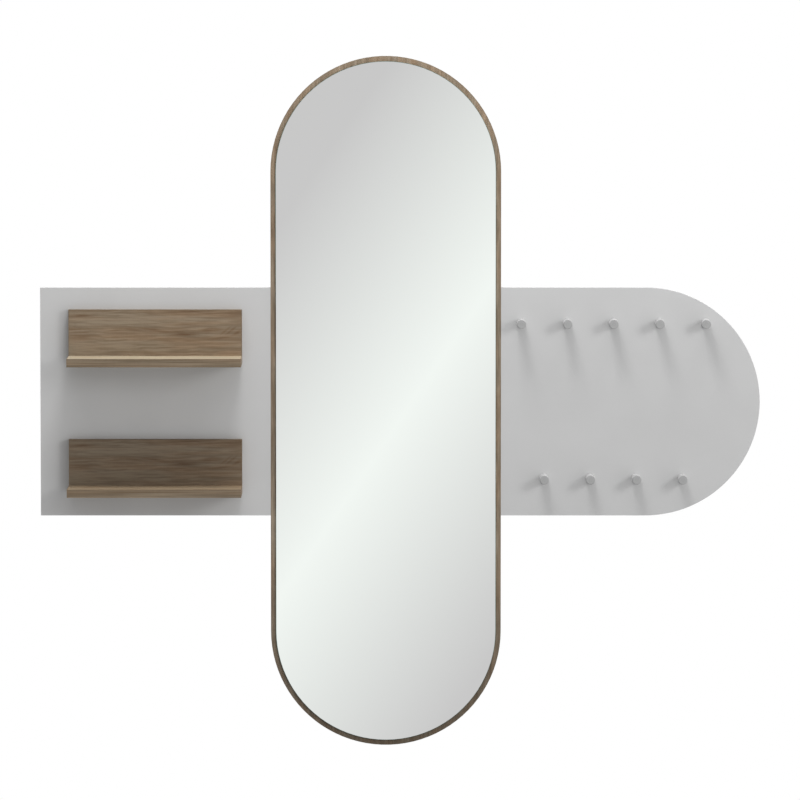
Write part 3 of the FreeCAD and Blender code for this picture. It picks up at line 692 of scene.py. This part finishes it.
def faces_sideways(tree):
    """1 where the surface faces left or right, and 0 elsewhere."""
    sideways = calculate(tree, "ABSOLUTE", facing(tree, "X"))
    return calculate(tree, "GREATER_THAN", sideways, SIDEWAYS_LIMIT)


for board, (end_order, tone) in EDGE_STRIPS.items():
    def along_strip(tree, place, end_order=end_order):
        """A place turned so that the grain runs along each strip."""
        turned = turn(tree, place, end_order)
        inputs = {MIX_FACTOR: faces_sideways(tree), VECTOR_FIRST: place, VECTOR_SECOND: turned}
        along = make(tree, "Mix", inputs, data_type="VECTOR").outputs[VECTOR_RESULT]
        return stretch(tree, along, STRIP_STRETCH)

    for level in SHELVES:
        oak_finish(f"{level}_shelf_{board}_edging", along_strip, EDGE_COLOURS, Tone=tone)


def round_the_board(tree, place):
    """A place by its height and depth alone."""
    return stretch(tree, turn(tree, place, "ZYX"), (1, 1, 0))


# The band takes the board's tone too: painted shade towards the foot, with soft patches of random tone
oak_finish("mirror_board_edging", round_the_board, EDGE_COLOURS, Tone=painted_foot_shade_and_patches)
print("oak edging on", [name for name in oak_of_node if name.endswith("edging")])

# %% [markdown]
# ### Beech dowels
#
# The dowels inside the joints are beech, a paler wood with short flecks and no strong drawing. A closed
# joint hides them, so they get no group of their own. The oak decor group makes beech too, with its own
# colours and few pores, turned so that the grain follows each dowel.

# %% Finish the dowels
BEECH_COLOURS = {
    "Light": (0.62, 0.46, 0.31, 1), "Middle": (0.52, 0.36, 0.22, 1), "Dark": (0.38, 0.24, 0.14, 1),
}
BEECH_PORES = 0.4
BEECH_SPECULAR = 0.25
BEECH_ORDERS = {"beech_lying": "XYZ", "beech_upright": "ZXY"}

for name, order in BEECH_ORDERS.items():
    tree, sockets, place = open_finish(name, Specular_IOR_Level=BEECH_SPECULAR)
    inputs = {"Vector": turn(tree, place, order), "Pores": BEECH_PORES, **BEECH_COLOURS}
    feed(tree, sockets, place_group(tree, oak_group, inputs), GRAIN_DEPTH)
beech_of_node = {
    "left_joint_dowels": "beech_lying", "right_joint_dowels": "beech_lying",
    "upper_shelf_dowels": "beech_upright", "lower_shelf_dowels": "beech_upright",
}
print("beech on", list(beech_of_node))

# %% [markdown]
# ### Mirror glass
#
# The mirror is a 3 mm sheet of glass with silver behind it. Clear glass over a silver sheet would be
# truer, but it needs a second solid and more bounces of light. Seen from the front the mirror reflects
# nearly everything, so a metal shader with a very low roughness is close to it. Its ground edge is not
# silvered: there the green of the glass shows. The way a face points tells the two apart. Faint smears
# blur the reflection in places.

# %% Finish the mirror
SILVER = (0.93, 0.935, 0.93, 1)
GLASS_EDGE = (0.16, 0.23, 0.20, 1)
FRONT_FACING = (-0.98, -0.9)
MIRROR_SMEARS = 9.0
MIRROR_ROUGHNESS = (0.008, 0.06)

tree, sockets, place = open_finish("mirror_silver", Metallic=1.0)
silvered = remap(tree, facing(tree, "Y"), *FRONT_FACING, 1.0, 0.0)
tree.links.new(mix(tree, silvered, GLASS_EDGE, SILVER), sockets["Base Color"])
marks = place_group(tree, marks_group, {"Vector": place, "Smears": MIRROR_SMEARS})["Mask"]
tree.links.new(remap(tree, marks, 0.0, 1.0, *MIRROR_ROUGHNESS), sockets["Roughness"])
print("mirror silvered")

# %% [markdown]
# ### Turned pegs
#
# The pegs are turned from bar and left with a satin face, so fine rings run round the end and fine lines
# round the side. Both are lines of equal distance from the axis or of equal depth, so one noise that is
# read along those two distances makes them. The box coordinates of each peg give its axis without naming
# its place. A satin lacquer scatters much of the light, so only a part of the shader is metal. The side
# is painted brighter than the cut end all round: painted light, for the strong light from above on the
# pegs' tops.

# %% Finish the pegs
PEG_SIZE = (0.020, 0.045, 0.020)
PEG_PALE = (0.402, 0.402, 0.402, 1)
PEG_DEEP = (0.326, 0.326, 0.326, 1)
PEG_METAL_SHARE = 0.3
PEG_SIDE_PAINTED_LIGHT = 1.4
PEG_SIDE_FACING = (-0.9, -0.2)
PEG_ROUGHNESS = (0.44, 0.54)
PEG_SMEARS = 90.0
PEG_SMEAR_ROUGHNESS = 0.12
RING_CELLS = (2600.0, 2600.0, 0.0)
RING_DEPTH = 0.00001
BOX_MIDDLE = (0.5, 0.5, 0.5)

tree, sockets, place = open_finish("peg_metal", Metallic=PEG_METAL_SHARE)
boxed = make(tree, "TexCoord").outputs["Generated"]
from_axis = make(tree, "VectorMath", {0: boxed, 1: BOX_MIDDLE}, operation="SUBTRACT").outputs[0]
from_axis = stretch(tree, from_axis, PEG_SIZE)
flat = stretch(tree, from_axis, (1, 0, 1))
radius = make(tree, "VectorMath", {0: flat}, operation="LENGTH").outputs["Value"]
depth = make(tree, "SeparateXYZ", {0: from_axis}).outputs["Y"]
lathe = make(tree, "CombineXYZ", {0: radius, 1: depth}).outputs[0]
rings = noise(tree, stretch(tree, lathe, RING_CELLS), detail=1.0)
ringed = mix(tree, remap(tree, rings, *NOISE_SPAN), PEG_PALE, PEG_DEEP)
# painted light: the side is made brighter all round, for the light from above on the pegs' tops
painted_side_light = remap(tree, facing(tree, "Y"), *PEG_SIDE_FACING, 1.0, PEG_SIDE_PAINTED_LIGHT)
tree.links.new(enlarge(tree, ringed, painted_side_light), sockets["Base Color"])
marks = place_group(tree, marks_group, {"Vector": place, "Smears": PEG_SMEARS})["Mask"]
rough = remap(tree, rings, *NOISE_SPAN, *PEG_ROUGHNESS)
rough = calculate(tree, "MULTIPLY_ADD", marks, PEG_SMEAR_ROUGHNESS, rough)
tree.links.new(rough, sockets["Roughness"])
bump = make(tree, "Bump", {"Height": rings, "Strength": 1.0, "Distance": RING_DEPTH})
tree.links.new(bump.outputs[0], sockets["Normal"])
print("pegs turned")

# %% [markdown]
# ### Zinc-plated hardware
#
# The plates, hangers and screws behind the boards are steel with a coat of zinc. Zinc sets in small
# crystals that each catch the light a little differently. Soft noise would blur their borders, so a cell
# texture gives every crystal its own tone and gloss.

# %% Finish the hardware
ZINC_PALE = (0.56, 0.57, 0.58, 1)
ZINC_DEEP = (0.38, 0.39, 0.40, 1)
ZINC_ROUGHNESS = (0.28, 0.42)
ZINC_SMEARS = 60.0
ZINC_SMEAR_ROUGHNESS = 0.15
CRYSTALS_PER_METRE = 260.0

tree, sockets, place = open_finish("zinc_steel", Metallic=1.0)
crystals = make(tree, "TexVoronoi", {"Vector": place, "Scale": CRYSTALS_PER_METRE}).outputs["Color"]
crystal = make(tree, "SeparateXYZ", {0: crystals}).outputs["X"]
tree.links.new(mix(tree, crystal, ZINC_DEEP, ZINC_PALE), sockets["Base Color"])
marks = place_group(tree, marks_group, {"Vector": place, "Smears": ZINC_SMEARS})["Mask"]
rough = remap(tree, crystal, 0.0, 1.0, *ZINC_ROUGHNESS)
rough = calculate(tree, "MULTIPLY_ADD", marks, ZINC_SMEAR_ROUGHNESS, rough)
tree.links.new(rough, sockets["Roughness"])
print("hardware plated")

# %% [markdown]
# ## Dress the solids
#
# The record names a finish for every solid. The oak-decor pieces have one each and the dowels share two,
# because their grain runs their own way. All others take the one that the record names.

# %% Give every solid its finish
for piece in frame["record"]["subparts"]:
    name = piece["node"]
    finish = oak_of_node.get(name) or beech_of_node.get(name) or piece["material_slot"]
    solid = nodes[name]
    solid.data.materials.clear()
    solid.data.materials.append(finishes[finish])
print(len(nodes), "solids dressed in", len(finishes), "finishes")
